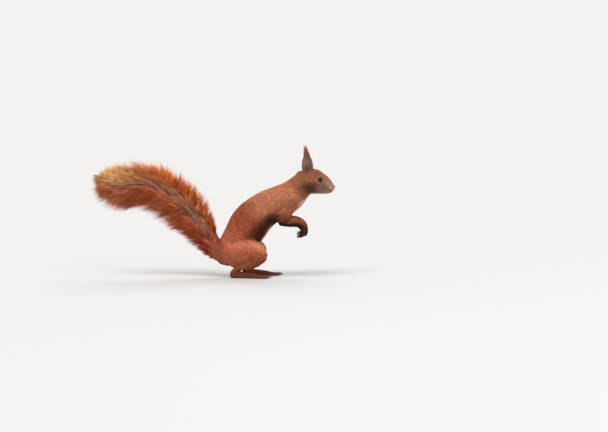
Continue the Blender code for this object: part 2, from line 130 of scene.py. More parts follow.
# Length, depth and width of a tuft in millimetres, tufts to a square millimetre, the way that
# they lie seen from the side (or away from the nose, or along the tail's bone) and their colour.
COATS = {
    "head": Coat(4.0, 1.0, 0.42, 3.2, "nose", CROWN),
    "lower_jaw": Coat(2.6, 0.6, 0.36, 3.4, "nose", MUZZLE),
    "ear": Coat(2.6, 0.35, 0.34, 3.6, (0.0, 1.0), EAR_BACK),
    "neck": Coat(7.0, 2.0, 0.60, 1.8, (-0.85, -0.50), RUSSET),
    "chest": Coat(8.5, 2.4, 0.68, 1.6, (-0.85, -0.50), RUSSET),
    "belly": Coat(9.0, 2.5, 0.72, 1.5, (-0.75, -0.66), FLANK),
    "rump": Coat(9.5, 2.7, 0.75, 1.5, (-0.60, -0.80), HAUNCH),
    "upper_arm": Coat(6.5, 1.6, 0.58, 1.9, (-0.25, -0.97), UPPER_ARM),
    "forearm": Coat(4.0, 0.9, 0.42, 2.6, (0.95, -0.30), FOREARM_TAN),
    "hand": Coat(2.0, 0.2, 0.28, 3.2, (0.10, -1.00), PAW_DARK),
    "thigh": Coat(6.8, 2.0, 0.60, 1.7, (-0.25, -0.97), HAUNCH),
    "shank": Coat(5.0, 1.3, 0.50, 2.2, (-0.45, -0.89), SHANK_BROWN),
    "foot": Coat(2.4, 0.3, 0.32, 2.8, (1.00, -0.10), FOOT_BROWN),
    "tail": Coat(9.0, 0.8, 0.55, 1.2, "bone", CORE_GREY),
}
NOSE_HAIR = 0.36  # length of the hair at the nose, as a share of the head's
NOSE_HAIR_BAND = (2 * MM, 34 * MM)  # from the nose, where it grows to its full length
EYE_HAIR_BAND = (4.5 * MM, 11 * MM)  # from the eye's axis, the same
EYE_BARE = 3.9 * MM
NOSE_BARE = 2.4 * MM
ROOT_SINK = 0.25 * MM  # how deep a tuft's root is set in the skin
FLOOR_CLEARANCE = 0.2 * MM
LOCK_SIZE = 9  # tufts in a lock
LOCK_PULL = 0.32  # how far tufts lean towards the middle of their lock
LOCK_REACH = 0.8 * MM
TUFT_SHADES = np.array((0.70, 1.0, 1.14))  # from root to tip
TUFT_PROFILE = (0.7, 1.0)  # share of the width at each step before the tip
PIECE_LIMIT = 19000  # tufts in one piece
PATCH = 0.003  # size of a tuft's place on the skin's map
GROUPS = {
    "coat_head": ("head", "lower_jaw", "ear"),
    "coat_fore": ("neck", "chest", "upper_arm"),
    "coat_trunk": ("belly", "rump"),
    "coat_arms": ("forearm", "hand"),
    "coat_legs": ("thigh", "shank"),
    "coat_feet": ("foot",),
    "coat_tail": ("tail",),
}
SLOTS = {"coat_feet": "paw", "coat_tail": "brush"}  # all other groups are in the slot coat

EAR_TUFT = 170  # long hairs on each ear
EAR_TUFT_LENGTH = 13 * MM
EAR_TUFT_WIDTH = 0.42 * MM
EAR_TUFT_PROFILE = (0.55, 1.0, 0.62)
EAR_TUFT_SHADES = np.array((0.6, 0.85, 1.0, 1.1))

# ---- markings, painted shade and a painted highlight: where one gives way to the next
VENTRAL = Vector((0.66, 0, -0.75))  # the way that the belly faces
ARMPIT = np.array((96.0, 0, 88.0)) * MM
MUZZLE_BAND = (9 * MM, 26 * MM)  # from the nose
BRIDGE_BAND = (3 * MM, 10 * MM)
CHEEK_BAND = (20 * MM, 34 * MM)
EYE_RING_BAND = (4.9 * MM, 6.4 * MM)  # from the eye's axis
ARMPIT_BAND = (5 * MM, 17 * MM)  # from the armpit
CHEEK_HEIGHTS = (136 * MM, 148 * MM)
ELBOW_HEIGHTS = (86 * MM, 98 * MM)
WRIST_HEIGHTS = (73 * MM, 83 * MM)
HALF_BREADTH = 16 * MM  # of the cream underside

# ---- tail's brush
LOCKS = 2500
LOCK_HAIRS = 12
BRUSH_WIDTH = 0.52 * MM
BRUSH_PROFILE = (0.6, 1.0, 0.8)
BRUSH_PIECE = 12000  # hairs in one piece
# Share of the bone's length, and how far the hairs there sweep towards the tip, in degrees.
SWEEP = ((0.0, 12), (0.3, 20), (0.55, 28), (0.8, 44), (0.93, 64), (1.0, 84))
SIDE_SWEEP = math.radians(34)  # how much further the hairs on the tail's flat sides sweep
EARLY_SWEEP = math.radians(14)  # how much less a hair sweeps at its root
FLATTEST = math.radians(89)
BOW = 0.35
BRUSH_FAR = 0.12  # a distance from the bone that lies outside the tail
BRUSH_REACH = 14 * MM  # a hair's length where it meets no outline

# ---- eyes and muzzle
EYE_OPENING = (57, 50)  # half-angles of the lids' opening at the eye's middle, along and up
EYE_CORNERS = 4  # degrees that the lids' corners are drawn out
EYE_SLANT = (1.0, 0, -0.25)  # from the rear corner to the front one
EYE_CLOSE = 7 * MM  # skin nearer than this to the eye's middle gives it its axis
# Depths in millimetres, and the distances from the eye's axis over which the skin rises again.
EYE_DIPS = ((0.7, 4.4, 7.6), (2.0, 2.7, 3.6))
LID_TURNS = 56
# Steps out from the lid's inner edge: degrees, and millimetres over the eyeball.
LID_PROFILE = ((9, -0.3), (0, -0.05), (-0.5, 0.25), (2.5, 0.42), (8, 0.44), (16, 0.42),
               (25, 0.38), (36, 0.1), (50, -1.2))
MOUTH_REACH = 8 * MM
LIP_CREASE = 0.9 * MM
WHISKER_ROWS = 4
WHISKERS_IN_ROW = 4
BROW_HAIRS = 3
CLAW_GROWTH = 1.16

# ---- floor, lights and camera
FLOOR_SIZE = 80.0
FLOOR_COLOUR = (0.56, 0.555, 0.545)
WORLD_COLOUR = (0.93, 0.95, 1.0)
WORLD_STRENGTH = 0.85
LIGHT_TARGET = (0, 0, 0.09)
# Name, kind, place, angle of a sun or diameter of a disk, power and colour.
LIGHTS = (
    ("key", "SUN", (-0.7, -1.1, 2.2), math.radians(32), 1.9, (1.0, 0.97, 0.92)),
    ("fill", "AREA", (1.6, -1.6, 0.9), 1.6, 6, (0.95, 0.97, 1.0)),
    ("rim", "SUN", (0.3, 1.5, 1.6), math.radians(40), 1.2, (1.0, 0.95, 0.88)),
)
VIEW_TARGET = Vector((135.75, 0, 91.5)) * MM
VIEW_DISTANCE = 6.0
VIEW_BREADTH = 0.912  # breadth of the picture at the squirrel
VIEW_RISE = math.radians(5)
SENSOR = 36.0

rng = np.random.default_rng(SEED)


# ---- numbers
def norms(vectors):
    return np.linalg.norm(vectors, axis=-1)


def unit(vectors):
    return vectors / np.maximum(np.linalg.norm(vectors, axis=-1, keepdims=True), 1e-9)


def dot(a, b):
    return (a * b).sum(axis=-1)


def ramp(values, start, end):
    """0 at start, 1 at end, and smooth between them."""
    share = np.clip((values - start) / (end - start), 0, 1)
    return share * share * (3 - 2 * share)


def mixed(a, b, share):
    share = np.asarray(share)[..., None]
    return a * (1 - share) + b * share


def mottle(points, size, seed):
    """Soft patches of about that size, from -1 to 1."""
    source = np.random.default_rng(seed)
    total = np.zeros(len(points))
    waves = 7
    for _ in range(waves):
        wave = source.normal(size=3) / size
        total += np.sin(points @ wave + source.uniform(0, 2 * math.pi))
    return np.clip(total / waves * 1.8, -1, 1)


# ---- objects
def scene_object(name, data):
    obj = bpy.data.objects.new(name, data)
    bpy.context.scene.collection.objects.link(obj)
    return obj


def mesh_object(name, points, faces):
    """An object from arrays of points and of triangles."""
    mesh = bpy.data.meshes.new(name)
    mesh.vertices.add(len(points))
    mesh.vertices.foreach_set("co", np.asarray(points, np.float32).ravel())
    mesh.loops.add(faces.size)
    mesh.loops.foreach_set("vertex_index", faces.astype(np.int32).ravel())
    mesh.polygons.add(len(faces))
    mesh.polygons.foreach_set("loop_start", np.arange(0, faces.size, 3, dtype=np.int32))
    mesh.polygons.foreach_set("use_smooth", np.ones(len(faces), bool))
    mesh.update(calc_edges=True)
    return scene_object(name, mesh)


def paint(obj, colours):
    """Gives each vertex its colour, in linear light."""
    layer = obj.data.color_attributes.new("tint", "FLOAT_COLOR", "POINT")
    rgba = np.ones((len(colours), 4), np.float32)
    rgba[:, :3] = colours
    layer.data.foreach_set("color", rgba.ravel())


def dress(obj, material, slot, nodes=()):
    """Gives a piece its material, hangs it under the root, and hides the nodes that it stands for. The
    slot is not used.
    """
    obj.data.materials.append(material)
    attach(obj, "root")
    if nodes:
        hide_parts(*nodes)


def mesh_form(mesh):
    """A mesh's points and triangles."""
    points = np.zeros(len(mesh.vertices) * 3, np.float32)
    mesh.vertices.foreach_get("co", points)
    mesh.calc_loop_triangles()
    faces = np.zeros(len(mesh.loop_triangles) * 3, np.int32)
    mesh.loop_triangles.foreach_get("vertices", faces)
    return points.reshape(-1, 3).astype(float), faces.reshape(-1, 3)


def face_normals(points, faces):
    """Each triangle's normal, as long as twice its area."""
    corners = points[faces]
    return np.cross(corners[:, 1] - corners[:, 0], corners[:, 2] - corners[:, 0])


def point_normals(points, faces):
    across = face_normals(points, faces)
    normals = np.zeros_like(points)
    for corner in range(3):
        for axis in range(3):
            normals[:, axis] += np.bincount(faces[:, corner], across[:, axis], len(points))
    return unit(normals)


def bmesh_form(bm):
    """A bmesh's points and triangles. It is freed."""
    points = np.array([vertex.co for vertex in bm.verts])
    faces = np.array([[vertex.index for vertex in face.verts] for face in bm.faces])
    bm.free()
    return points, faces


def welded(node, growth=0.0):
    """Points and triangles of a CAD node, with its shared corners joined, grown outwards."""
    bm = bmesh.new()
    bm.from_mesh(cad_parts[node].data)
    bmesh.ops.remove_doubles(bm, verts=bm.verts, dist=0.001 * MM)
    bmesh.ops.triangulate(bm, faces=bm.faces)
    bmesh.ops.recalc_face_normals(bm, faces=bm.faces)
    bm.normal_update()
    for vertex in bm.verts:
        vertex.co += vertex.normal * growth
    return bmesh_form(bm)


def stacked(forms):
    """Several forms' points and triangles as one."""
    points, faces, start = [], [], 0
    for form_points, form_faces in forms:
        points.append(form_points)
        faces.append(form_faces + start)
        start += len(form_points)
    return np.vstack(points), np.vstack(faces)


def tree_of(points, faces):
    return BVHTree.FromPolygons(points.tolist(), faces.tolist())


def distances(tree, points, limit):
    """Distance from each point to the nearest face, or the limit where that is nearer."""
    found = np.full(len(points), limit)
    for index, point in enumerate(points.tolist()):
        distance = tree.find_nearest(point, limit)[3]
        if distance is not None:
            found[index] = distance
    return found


def ring_faces(rings, turns, closed=False):
    """Triangles from each ring of points to the next, and from the last to the first if closed."""
    faces = []
    for ring in range(rings if closed else rings - 1):
        following = (ring + 1) % rings
        for turn in range(turns):
            other = (turn + 1) % turns
            a, b = ring * turns + turn, ring * turns + other
            c, d = following * turns + other, following * turns + turn
            faces += [(a, b, c), (a, c, d)]
    return faces


def tube(rows, radii, sides=14):
    """A closed round form along the rows."""
    along = unit(np.gradient(rows, axis=0))
    across = unit(np.cross(along, (0, 1, 0)))
    up = np.cross(along, across)
    angles = np.arange(sides) * 2 * math.pi / sides
    ring = np.cos(angles)[None, :, None] * across[:, None]
    ring = ring + np.sin(angles)[None, :, None] * up[:, None]
    points = rows[:, None] + ring * radii[:, None, None]
    count = len(rows)
    points = np.vstack([points.reshape(-1, 3), rows[:1], rows[-1:]])
    faces = ring_faces(count, sides)
    last = (count - 1) * sides
    for side in range(sides):
        following = (side + 1) % sides
        faces.append((following, side, count * sides))
        faces.append((last + side, last + following, count * sides + 1))
    return points, np.array(faces)


def curve_through(stations, steps):
    """Points of a smooth curve through the stations, with so many steps to a span."""
    table = np.vstack([2 * stations[0] - stations[1], stations, 2 * stations[-1] - stations[-2]])
    rows = []
    for before, start, end, after in zip(table, table[1:], table[2:], table[3:]):
        for t in np.arange(steps) / steps:
            rows.append(0.5 * (2 * start + t * (end - before)
                               + t * t * (2 * before - 5 * start + 4 * end - after)
                               + t ** 3 * (3 * (start - end) + after - before)))
    rows.append(table[-2])
    return np.array(rows)


# ---- tail's bone
def meeting(first, second):
    """The middle of the face where two nodes meet."""
    points = welded(first)[0]
    near = distances(tree_of(*welded(second)), points, 4 * MM) < 0.8 * MM
    return points[near].mean(axis=0)


def tail_bone():
    """Rows of points along the tail, from inside the rump to inside the tail's tip."""
    joints = [meeting(a, b) for a, b in zip(("rump",) + TAIL[:-1], TAIL)]
    tip_points = welded("tail_tip")[0]
    tip = tip_points[tip_points[:, 0].argmin()]
    end = joints[-1] + (tip - joints[-1]) * BONE_REACH
    stations = np.array(joints + [end])
    stations[:, 1] = 0
    along = unit(np.gradient(stations, axis=0))
    rise = np.cross(along, (0, 1, 0))
    rise *= np.sign(rise[:, 2:3])
    stations[1:] += rise[1:] * BONE_RISE
    root = stations[0] - along[0] * BONE_START * MM
    return curve_through(np.vstack([root, stations]), BONE_STEPS)


# ---- skin
def node_names(kind):
    if kind in MIDLINE_FLESH:
        return [kind]
    return [f"{kind}_{side}" for side in SIDES]


def bake_modifiers(obj):
    """Gives the object the mesh that its modifiers make, and takes them away."""
    depsgraph = bpy.context.evaluated_depsgraph_get()
    mesh = bpy.data.meshes.new_from_object(obj.evaluated_get(depsgraph))
    obj.modifiers.clear()
    obj.data = mesh


def on_paws(points):
    """Which points lie in the box round a hand or a foot."""
    inside = np.zeros(len(points), bool)
    for name in node_names("hand") + node_names("foot"):
        low, high = (np.array(corner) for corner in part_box(name))
        inside |= ((points > low - MM) & (points < high + MM)).all(axis=1)
    return inside


def fused(forms):
    """One surface round overlapping forms, as points and triangles, finest on the paws."""
    obj = mesh_object("fusing", *stacked(forms))
    remesh = obj.modifiers.new("fuse", "REMESH")
    remesh.mode = "VOXEL"
    remesh.voxel_size = SKIN_VOXEL
    bake_modifiers(obj)
    group = obj.vertex_groups.new(name="thinned")
    group.add((~on_paws(mesh_form(obj.data)[0])).nonzero()[0].tolist(), 1.0, "REPLACE")
    thin = obj.modifiers.new("thin", "DECIMATE")
    thin.ratio = SKIN_THINNING
    thin.vertex_group = group.name
    bake_modifiers(obj)
    form = mesh_form(obj.data)
    bpy.data.objects.remove(obj)
    return form


def edge_ends(faces):
    """For each edge in both directions, its first vertex and its other one."""
    edges = np.vstack([faces[:, [0, 1]], faces[:, [1, 2]], faces[:, [2, 0]]])
    edges = np.unique(np.sort(edges, axis=1), axis=0)
    return np.vstack([edges, edges[:, ::-1]]).T


def faired(values, rounds):
    """Values at the skin's vertices, each moved halfway to its neighbours' mean, round by round."""
    values = np.array(values, float)
    flat = values.reshape(len(values), -1)
    count = np.bincount(ends, minlength=len(flat))
    for _ in range(rounds):
        for column in range(flat.shape[1]):
            mean = np.bincount(ends, flat[others, column], len(flat)) / count
            flat[:, column] = 0.5 * (flat[:, column] + mean)
    return flat.reshape(values.shape)


def eye_ball(side):
    """The middle and the radius of an eye."""
    low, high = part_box(f"eye_{side}")
    return np.array((low + high) / 2), (high.z - low.z) / 2


def on_bone(points):
    """For each point, the nearest place on the tail's bone as a share of its length, and the
    bone's direction there."""
    gaps = norms(points[:, None, ::2] - bone[None, :, ::2])
    nearest = gaps.argmin(axis=1)
    return bone_shares[nearest], bone_along[nearest]


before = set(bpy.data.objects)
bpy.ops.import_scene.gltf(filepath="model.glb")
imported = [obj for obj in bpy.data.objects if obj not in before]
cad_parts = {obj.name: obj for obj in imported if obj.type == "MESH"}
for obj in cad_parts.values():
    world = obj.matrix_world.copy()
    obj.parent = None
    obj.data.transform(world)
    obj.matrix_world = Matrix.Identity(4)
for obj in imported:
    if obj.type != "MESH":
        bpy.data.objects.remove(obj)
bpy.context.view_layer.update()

bone = tail_bone()
bone_steps = np.concatenate([[0], np.cumsum(norms(np.diff(bone, axis=0)))])
bone_shares = bone_steps / bone_steps[-1]
bone_along = unit(np.gradient(bone, axis=0))
core_shares, core_radii = np.array(TAIL_CORE).T
core = tube(bone, np.interp(bone_shares, core_shares, core_radii) * MM)

flesh = {}
for kind in MIDLINE_FLESH + PAIRED_FLESH:
    closing = PAW_CLOSING if kind in ("hand", "foot") else GAP_CLOSING
    flesh[kind] = stacked([welded(name, closing) for name in node_names(kind)])
outer, skin_faces = fused(list(flesh.values()) + [core])
ends, others = edge_ends(skin_faces)
paw_share = faired(on_paws(outer), PAW_FAIRING)
outer = mixed(faired(outer, SKIN_FAIRING), faired(outer, PAW_FAIRING), paw_share)
outer_normals = point_normals(outer, skin_faces)

# How much each region has to say at each vertex of the skin.
kinds = list(flesh) + ["tail"]
gap_limit = 4 * REGION_BLEND
gaps = {kind: distances(tree_of(*form), outer, gap_limit) for kind, form in flesh.items()}
gaps["tail"] = distances(tree_of(*core), outer, gap_limit)
shares = np.array([np.exp(-(gaps[kind] / REGION_BLEND) ** 2) for kind in kinds]).T
shares /= np.maximum(shares.sum(axis=1, keepdims=True), 1e-12)
strongest = shares.argmax(axis=1)


def blended(column):
    """A column of the coats' table at each vertex, blended between regions."""
    return shares @ np.array([getattr(COATS[kind], column) for kind in kinds], float)


def region(*names):
    """How much of each vertex belongs to the regions."""
    return shares[:, [kinds.index(name) for name in names]].sum(axis=1)


# ---- the coat's lie, length and depth
nose_low, nose_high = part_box("nose")
nose_middle = np.array((nose_low + nose_high) / 2)

lie = np.zeros_like(outer)
for column, kind in enumerate(kinds):
    way = COATS[kind].lie
    if way == "nose":
        way = unit(outer - nose_middle)
    elif way == "bone":
        way = on_bone(outer)[1]
    else:
        way = np.array((way[0], 0, way[1]))
    lie += shares[:, column:column + 1] * way
length = blended("length") * MM
depth = blended("depth") * MM
width = blended("width") * MM
density = blended("density")

# Hair is shortest at the nose and grows back over the face.
from_nose = norms(outer - nose_middle)
face = region("head", "lower_jaw")
growth = NOSE_HAIR + (1 - NOSE_HAIR) * ramp(from_nose, *NOSE_HAIR_BAND)
length *= 1 - face * (1 - growth)
depth *= 1 - face * (1 - growth ** 1.6)
width *= 1 - face * (1 - growth ** 0.5)

# Round each eye the hair is short, points away from the eye, and the skin dips.
eye_axis = {}
around_eye = np.full(len(outer), 1.0)
dip = np.zeros(len(outer))
for side in SIDES:
    offset = outer - eye_ball(side)[0]
    close = norms(offset) < EYE_CLOSE
    axis = unit(outer_normals[close].mean(axis=0))
    eye_axis[side] = axis
    height = offset @ axis
    outward = offset - height[:, None] * axis
    off_axis = norms(outward)
    off_axis[height < 0] = 1.0
    near = 1 - ramp(off_axis, *EYE_HAIR_BAND)
    lie = mixed(lie, unit(outward) * 1.4 + lie * 0.6, near)
    length *= 1 - 0.62 * near
    depth *= 1 - 0.75 * near
    width *= 1 - 0.3 * near
    for deep, bottom, brim in EYE_DIPS:
        dip += deep * MM * (1 - ramp(off_axis, bottom * MM, brim * MM))
    around_eye = np.minimum(around_eye, off_axis)

lie = faired(lie, LIE_FAIRING)
lie = unit(lie - dot(lie, outer_normals)[:, None] * outer_normals)
dip = faired(dip, DIP_FAIRING)

# The mouth is a shallow crease between head and lower jaw, at the front.
mouth_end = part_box("lower_jaw")[1].x - MOUTH_REACH
parting = np.abs(gaps["head"] - gaps["lower_jaw"])
lips = 1 - ramp(parting, 0.25 * MM, 1.1 * MM)
lips *= ramp(outer[:, 0], mouth_end - 2 * MM, mouth_end)
lips *= np.minimum(gaps["head"], gaps["lower_jaw"]) < 1.5 * MM

skin_points = outer - outer_normals * (depth + dip + LIP_CREASE * lips)[:, None]
skin_normals = point_normals(skin_points, skin_faces)


# ---- markings, with painted shade and a painted highlight
def one_ear(side):
    """How much of each vertex belongs to that ear, and how much it faces as the hollow does."""
    facing = outer_normals @ np.array((0.47, 0.88 * SIDES[side], 0))
    return region("ear") * (outer[:, 1] * SIDES[side] > 0), facing


# Each of these gives colours in order, with how much of them each vertex takes.
def mark_head():
    yield MUZZLE, face * (1 - ramp(from_nose, *MUZZLE_BAND))
    bridge = face * ramp(outer_normals[:, 2], 0.1, 0.7) * ramp(from_nose, *BRIDGE_BAND)
    yield CROWN, bridge * 0.85
    # Painted shadow low on the cheek and jaw, behind the eye.
    behind_eye = ramp(from_nose, *CHEEK_BAND) * face
    low_on_head = 1 - ramp(outer[:, 2], *CHEEK_HEIGHTS)
    yield CHEEK_SHADOW, behind_eye * low_on_head * 0.85


def mark_underside():
    """Cream with a soft border from throat to belly, between flanks that are partly dark and partly
    painted in shade, a painted highlight on the thighs' tops, and a pale chin.
    """
    facing = outer_normals @ np.array(VENTRAL)
    # Painted shade where the trunk faces down, over flanks that are partly dark of their own.
    low_flank_dark_and_shade = region("chest", "belly", "rump") * ramp(facing, -0.05, 0.6)
    yield LOW_FLANK_DARK_AND_SHADE, low_flank_dark_and_shade * 0.9
    # A painted highlight where the thighs face up.
    thigh_highlight = region("thigh") * ramp(outer_normals[:, 2], 0.15, 0.65)
    yield THIGH_HIGHLIGHT, thigh_highlight * 0.8
    border = 0.88 - 0.14 * region("neck")
    under = region("neck", "chest", "belly") * ramp(facing - border, 0, 0.1)
    under *= 1 - ramp(np.abs(outer[:, 1]) / HALF_BREADTH, 0.7, 1.1)
    inwards = -outer_normals[:, 1] * np.sign(outer[:, 1])
    inside = region("thigh", "upper_arm") * ramp(inwards, 0.5, 0.9)
    yield CREAM, np.clip(under + inside * 0.4, 0, 1)
    yield CHIN, region("lower_jaw", "head") * ramp(-outer_normals[:, 2], 0.80, 0.97)


def mark_arms():
    """Painted shade under the elbows and forearms and in the armpits, and dark wrists."""
    arm = region("forearm", "upper_arm")
    # Painted shade where the arms face down, below the elbows' height.
    underarm_shade = ramp(-outer_normals[:, 2], -0.30, 0.35) * (1 - ramp(outer[:, 2], *ELBOW_HEIGHTS))
    yield UNDERARM_SHADE, arm * underarm_shade * 0.95
    # Painted shade in the armpit, where the arm meets the chest and belly.
    from_armpit = norms((outer - ARMPIT)[:, ::2])
    armpit_shade = region("chest", "upper_arm", "belly") * (1 - ramp(from_armpit, *ARMPIT_BAND))
    yield UNDERARM_SHADE, armpit_shade * 0.9
    wrist = region("forearm", "hand") * (1 - ramp(outer[:, 2], *WRIST_HEIGHTS))
    yield PAW_DARK, wrist * 0.9


def mark_tail():
    """A root as red as the haunch, and a bone banded grey and brown, with a bright tip."""
    share = on_bone(outer)[0]
    tail = region("tail")
    yield TAIL_ROOT, tail * (1 - ramp(share, 0.14, 0.30))
    bands = 0.5 + 0.5 * mottle(outer, 6 * MM, 5)
    yield CORE_DARK, tail * bands * ramp(share, 0.2, 0.34) * 0.75
    yield UPPER_HAIR[-1], tail * ramp(share, 0.86, 0.97)


def mark_ears():
    """Bare greyish hollows and pale front rims on dark ears."""
    for side in SIDES:
        ear, facing = one_ear(side)
        yield EAR_HOLLOW, ear * ramp(facing, 0.35, 0.75)
        yield EAR_RIM, ear * ramp(outer_normals[:, 0], 0.6, 0.95) * 0.8


def mark_eyes_and_lips():
    yield EYE_RING, (1 - ramp(around_eye, *EYE_RING_BAND)) * 0.7
    yield LIP_DARK, lips * 0.9


def markings():
    """The coat's colour at each vertex of the skin, with painted shade and a painted highlight."""
    colour = shares @ np.array([COATS[kind].colour for kind in kinds])
    for marks in (mark_head, mark_underside, mark_arms, mark_tail, mark_ears, mark_eyes_and_lips):
        for mark, share in marks():
            colour = mixed(colour, mark, share)
    patches = 1 + 0.09 * mottle(outer, 5 * MM, 1) + 0.07 * mottle(outer, 14 * MM, 2)
    return faired(colour, TINT_FAIRING) * patches[:, None]


tint = markings()


# ---- lids
def lid_form(side):
    """A soft rim round the eye's opening: two lids that meet at slight corners."""
    middle, radius = eye_ball(side)
    axis = eye_axis[side]
    forward = unit(np.array(EYE_SLANT) - axis * axis[0])
    forward = unit(forward - axis * (forward @ axis))
    up = np.cross(forward, axis) * -SIDES[side]
    up *= np.sign(up[2])
    angles = np.arange(LID_TURNS) * 2 * math.pi / LID_TURNS
    flat = np.cos(angles)[:, None] * forward + np.sin(angles)[:, None] * up
    corner = np.abs(np.cos(angles)) ** 6
    opening = np.hypot(np.cos(angles) * EYE_OPENING[0], np.sin(angles) * EYE_OPENING[1])
    opening = np.radians(opening + EYE_CORNERS * corner)
    rings = []
    for step, height in LID_PROFILE:
        polar = opening + np.radians(step)
        ring = np.cos(polar)[:, None] * axis + np.sin(polar)[:, None] * flat
        rings.append(middle + ring * (radius + height * MM))
    points = np.vstack(rings)
    faces = np.array(ring_faces(len(LID_PROFILE), LID_TURNS, closed=True))
    volume = dot(face_normals(points, faces), points[faces[:, 0]] - middle).sum()
    if volume < 0:
        faces = faces[:, ::-1]
    row = (np.arange(len(points)) // LID_TURNS).astype(float)
    return points, faces, mixed(LID_DARK, EYE_RING * 0.7, ramp(row, 3.0, 5.0))


lid_forms = [lid_form(side) for side in SIDES]
skin = mesh_object("skin", *stacked([(skin_points, skin_faces)] + [form[:2] for form in lid_forms]))
paint(skin, np.vstack([tint * UNDERCOAT_SHADE] + [form[2] for form in lid_forms]))


def unwrap(obj):
    """Lays the skin's surface out flat in the map named OFBake."""
    obj.data.uv_layers.new(name="OFBake")
    bpy.ops.object.select_all(action="DESELECT")
    obj.select_set(True)
    bpy.context.view_layer.objects.active = obj
    bpy.ops.object.mode_set(mode="EDIT")
    bpy.ops.mesh.select_all(action="SELECT")
    bpy.ops.uv.smart_project(angle_limit=math.radians(66), island_margin=0.001)
    bpy.ops.object.mode_set(mode="OBJECT")
    corners = np.zeros(len(obj.data.loops) * 2, np.float32)
    obj.data.uv_layers["OFBake"].data.foreach_get("uv", corners)
    return corners.reshape(-1, 3, 2)


skin_map = unwrap(skin)
skin_tree = tree_of(skin_points, skin_faces)


# ---- materials
def settle(node, values):
    """Sets constant values on a node's inputs."""
    for name, value in values.items():
        node.inputs[name].default_value = value


def node_material(name, roughness, specular, grain, variation, bump=0.0, colour=None,
                  coat=0.0, sheen=0.0):
    """A Principled material with a noise of that grain in its colour and relief. Where no colour
    is given, it is the painted tint."""
    material = bpy.data.materials.new(name)
    material.use_nodes = True
    nodes = material.node_tree.nodes

    def join(output, node, name):
        material.node_tree.links.new(output, node.inputs[name])

    shader = nodes["Principled BSDF"]
    settle(shader, {"Roughness": roughness, "Specular IOR Level": specular, "Coat Weight": coat,
                    "Coat Roughness": 0.03, "Sheen Weight": sheen, "Sheen Roughness": 0.5})
    if colour is None:
        source = nodes.new("ShaderNodeVertexColor")
        source.layer_name = "tint"
    else:
        source = nodes.new("ShaderNodeRGB")
        source.outputs[0].default_value = (*colour, 1)
    where = nodes.new("ShaderNodeTexCoord")
    noise = nodes.new("ShaderNodeTexNoise")
    settle(noise, {"Scale": grain, "Detail": 4})
    join(where.outputs["Object"], noise, "Vector")
    levels = nodes.new("ShaderNodeMapRange")
    settle(levels, {"From Min": 0.3, "From Max": 0.7, "To Min": 1 - variation,
                    "To Max": 1 + variation})
    join(noise.outputs["Fac"], levels, "Value")
    product = nodes.new("ShaderNodeVectorMath")
    product.operation = "SCALE"
    join(source.outputs[0], product, 0)
    join(levels.outputs["Result"], product, "Scale")
    join(product.outputs["Vector"], shader, "Base Color")
    if bump:
        relief = nodes.new("ShaderNodeBump")
        settle(relief, {"Strength": bump, "Distance": 0.3 * MM})
        join(noise.outputs["Fac"], relief, "Height")
        join(relief.outputs["Normal"], shader, "Normal")
    return material


skin_material = node_material("skin", 0.75, 0.25, 1400, 0.18, bump=0.6)
fur_material = node_material("fur", 0.66, 0.12, 260, 0.10, sheen=0.02)
brush_material = node_material("brush", 0.55, 0.16, 200, 0.10, sheen=0.02)
eye_material = node_material("eye", 0.04, 0.36, 900, 0.15)
nose_material = node_material("nose", 0.42, 0.5, 2600, 0.2, bump=0.8, colour=rgb(74, 52, 46))
claw_material = node_material("claw", 0.28, 0.5, 700, 0.25, bump=0.2, colour=rgb(46, 34, 27), coat=0.4)
whisker_material = node_material("whisker", 0.35, 0.5, 500, 0.2, colour=rgb(26, 19, 16))

flesh_nodes = [name for kind in MIDLINE_FLESH + PAIRED_FLESH for name in node_names(kind)]
dress(skin, skin_material, "coat", [*flesh_nodes, *TAIL])


# ---- tufts
def tuft_faces(count, rings):
    """Triangles of closed three-sided tufts, each with so many rings and then a tip."""
    faces = [(0, 2, 1)] + ring_faces(rings, 3)
    last = (rings - 1) * 3
    for corner in range(3):
        faces.append((last + corner, last + (corner + 1) % 3, rings * 3))
    size = rings * 3 + 1
    return (np.array(faces)[None] + (np.arange(count) * size)[:, None, None]).reshape(-1, 3)


def tuft_object(name, tufts, profile, material, slot):
    """One piece of coat from the tufts."""
    count, steps = tufts.paths.shape[:2]
    rings = steps - 1
    half = (tufts.widths[:, None] * profile / 2)[..., None]
    body = tufts.paths[:, :-1]
    across, up = tufts.across * half, tufts.up * half * 0.9
    ring_points = np.stack([body - across, body + across, body + up], axis=2)
    points = np.concatenate([ring_points.reshape(count, -1, 3), tufts.paths[:, -1:]], axis=1)
    faces = tuft_faces(count, rings)
    obj = mesh_object(name, points.reshape(-1, 3), faces)
    tips = tufts.colours[:, -1:]
    shades = np.concatenate([np.repeat(tufts.colours[:, :-1], 3, axis=1), tips], axis=1)
    paint(obj, shades.reshape(-1, 3))
    corner_u = np.tile((-0.5, 0.5, 0.0), rings)
    corner_v = np.repeat(np.arange(rings) / rings, 3) - 0.5
    offsets = np.vstack([np.column_stack([corner_u, corner_v]), (0.0, 0.5)]) * PATCH
    uv = (tufts.map_roots[:, None] + offsets[None]).reshape(-1, 2)
    layer = obj.data.uv_layers.new(name="OFBake")
    layer.data.foreach_set("uv", uv[faces.ravel()].astype(np.float32).ravel())
    dress(obj, material, slot)


# Paths (tuft, step, xyz) that end in the tips, two directions across each tuft, its width, its
# colour at each step and its root's place on the skin's map.
Tufts = namedtuple("Tufts", "paths across up widths colours map_roots")
Roots = namedtuple("Roots", "place normal lie length depth width colour map strongest")


def picked(tufts, some):
    return Tufts(*(field[some] for field in tufts))


def triangle_weights(weight):
    """Each of the skin's triangles: its area times its corners' mean weight."""
    area = norms(face_normals(skin_points, skin_faces)) / 2
    return area * weight[skin_faces].mean(axis=1)


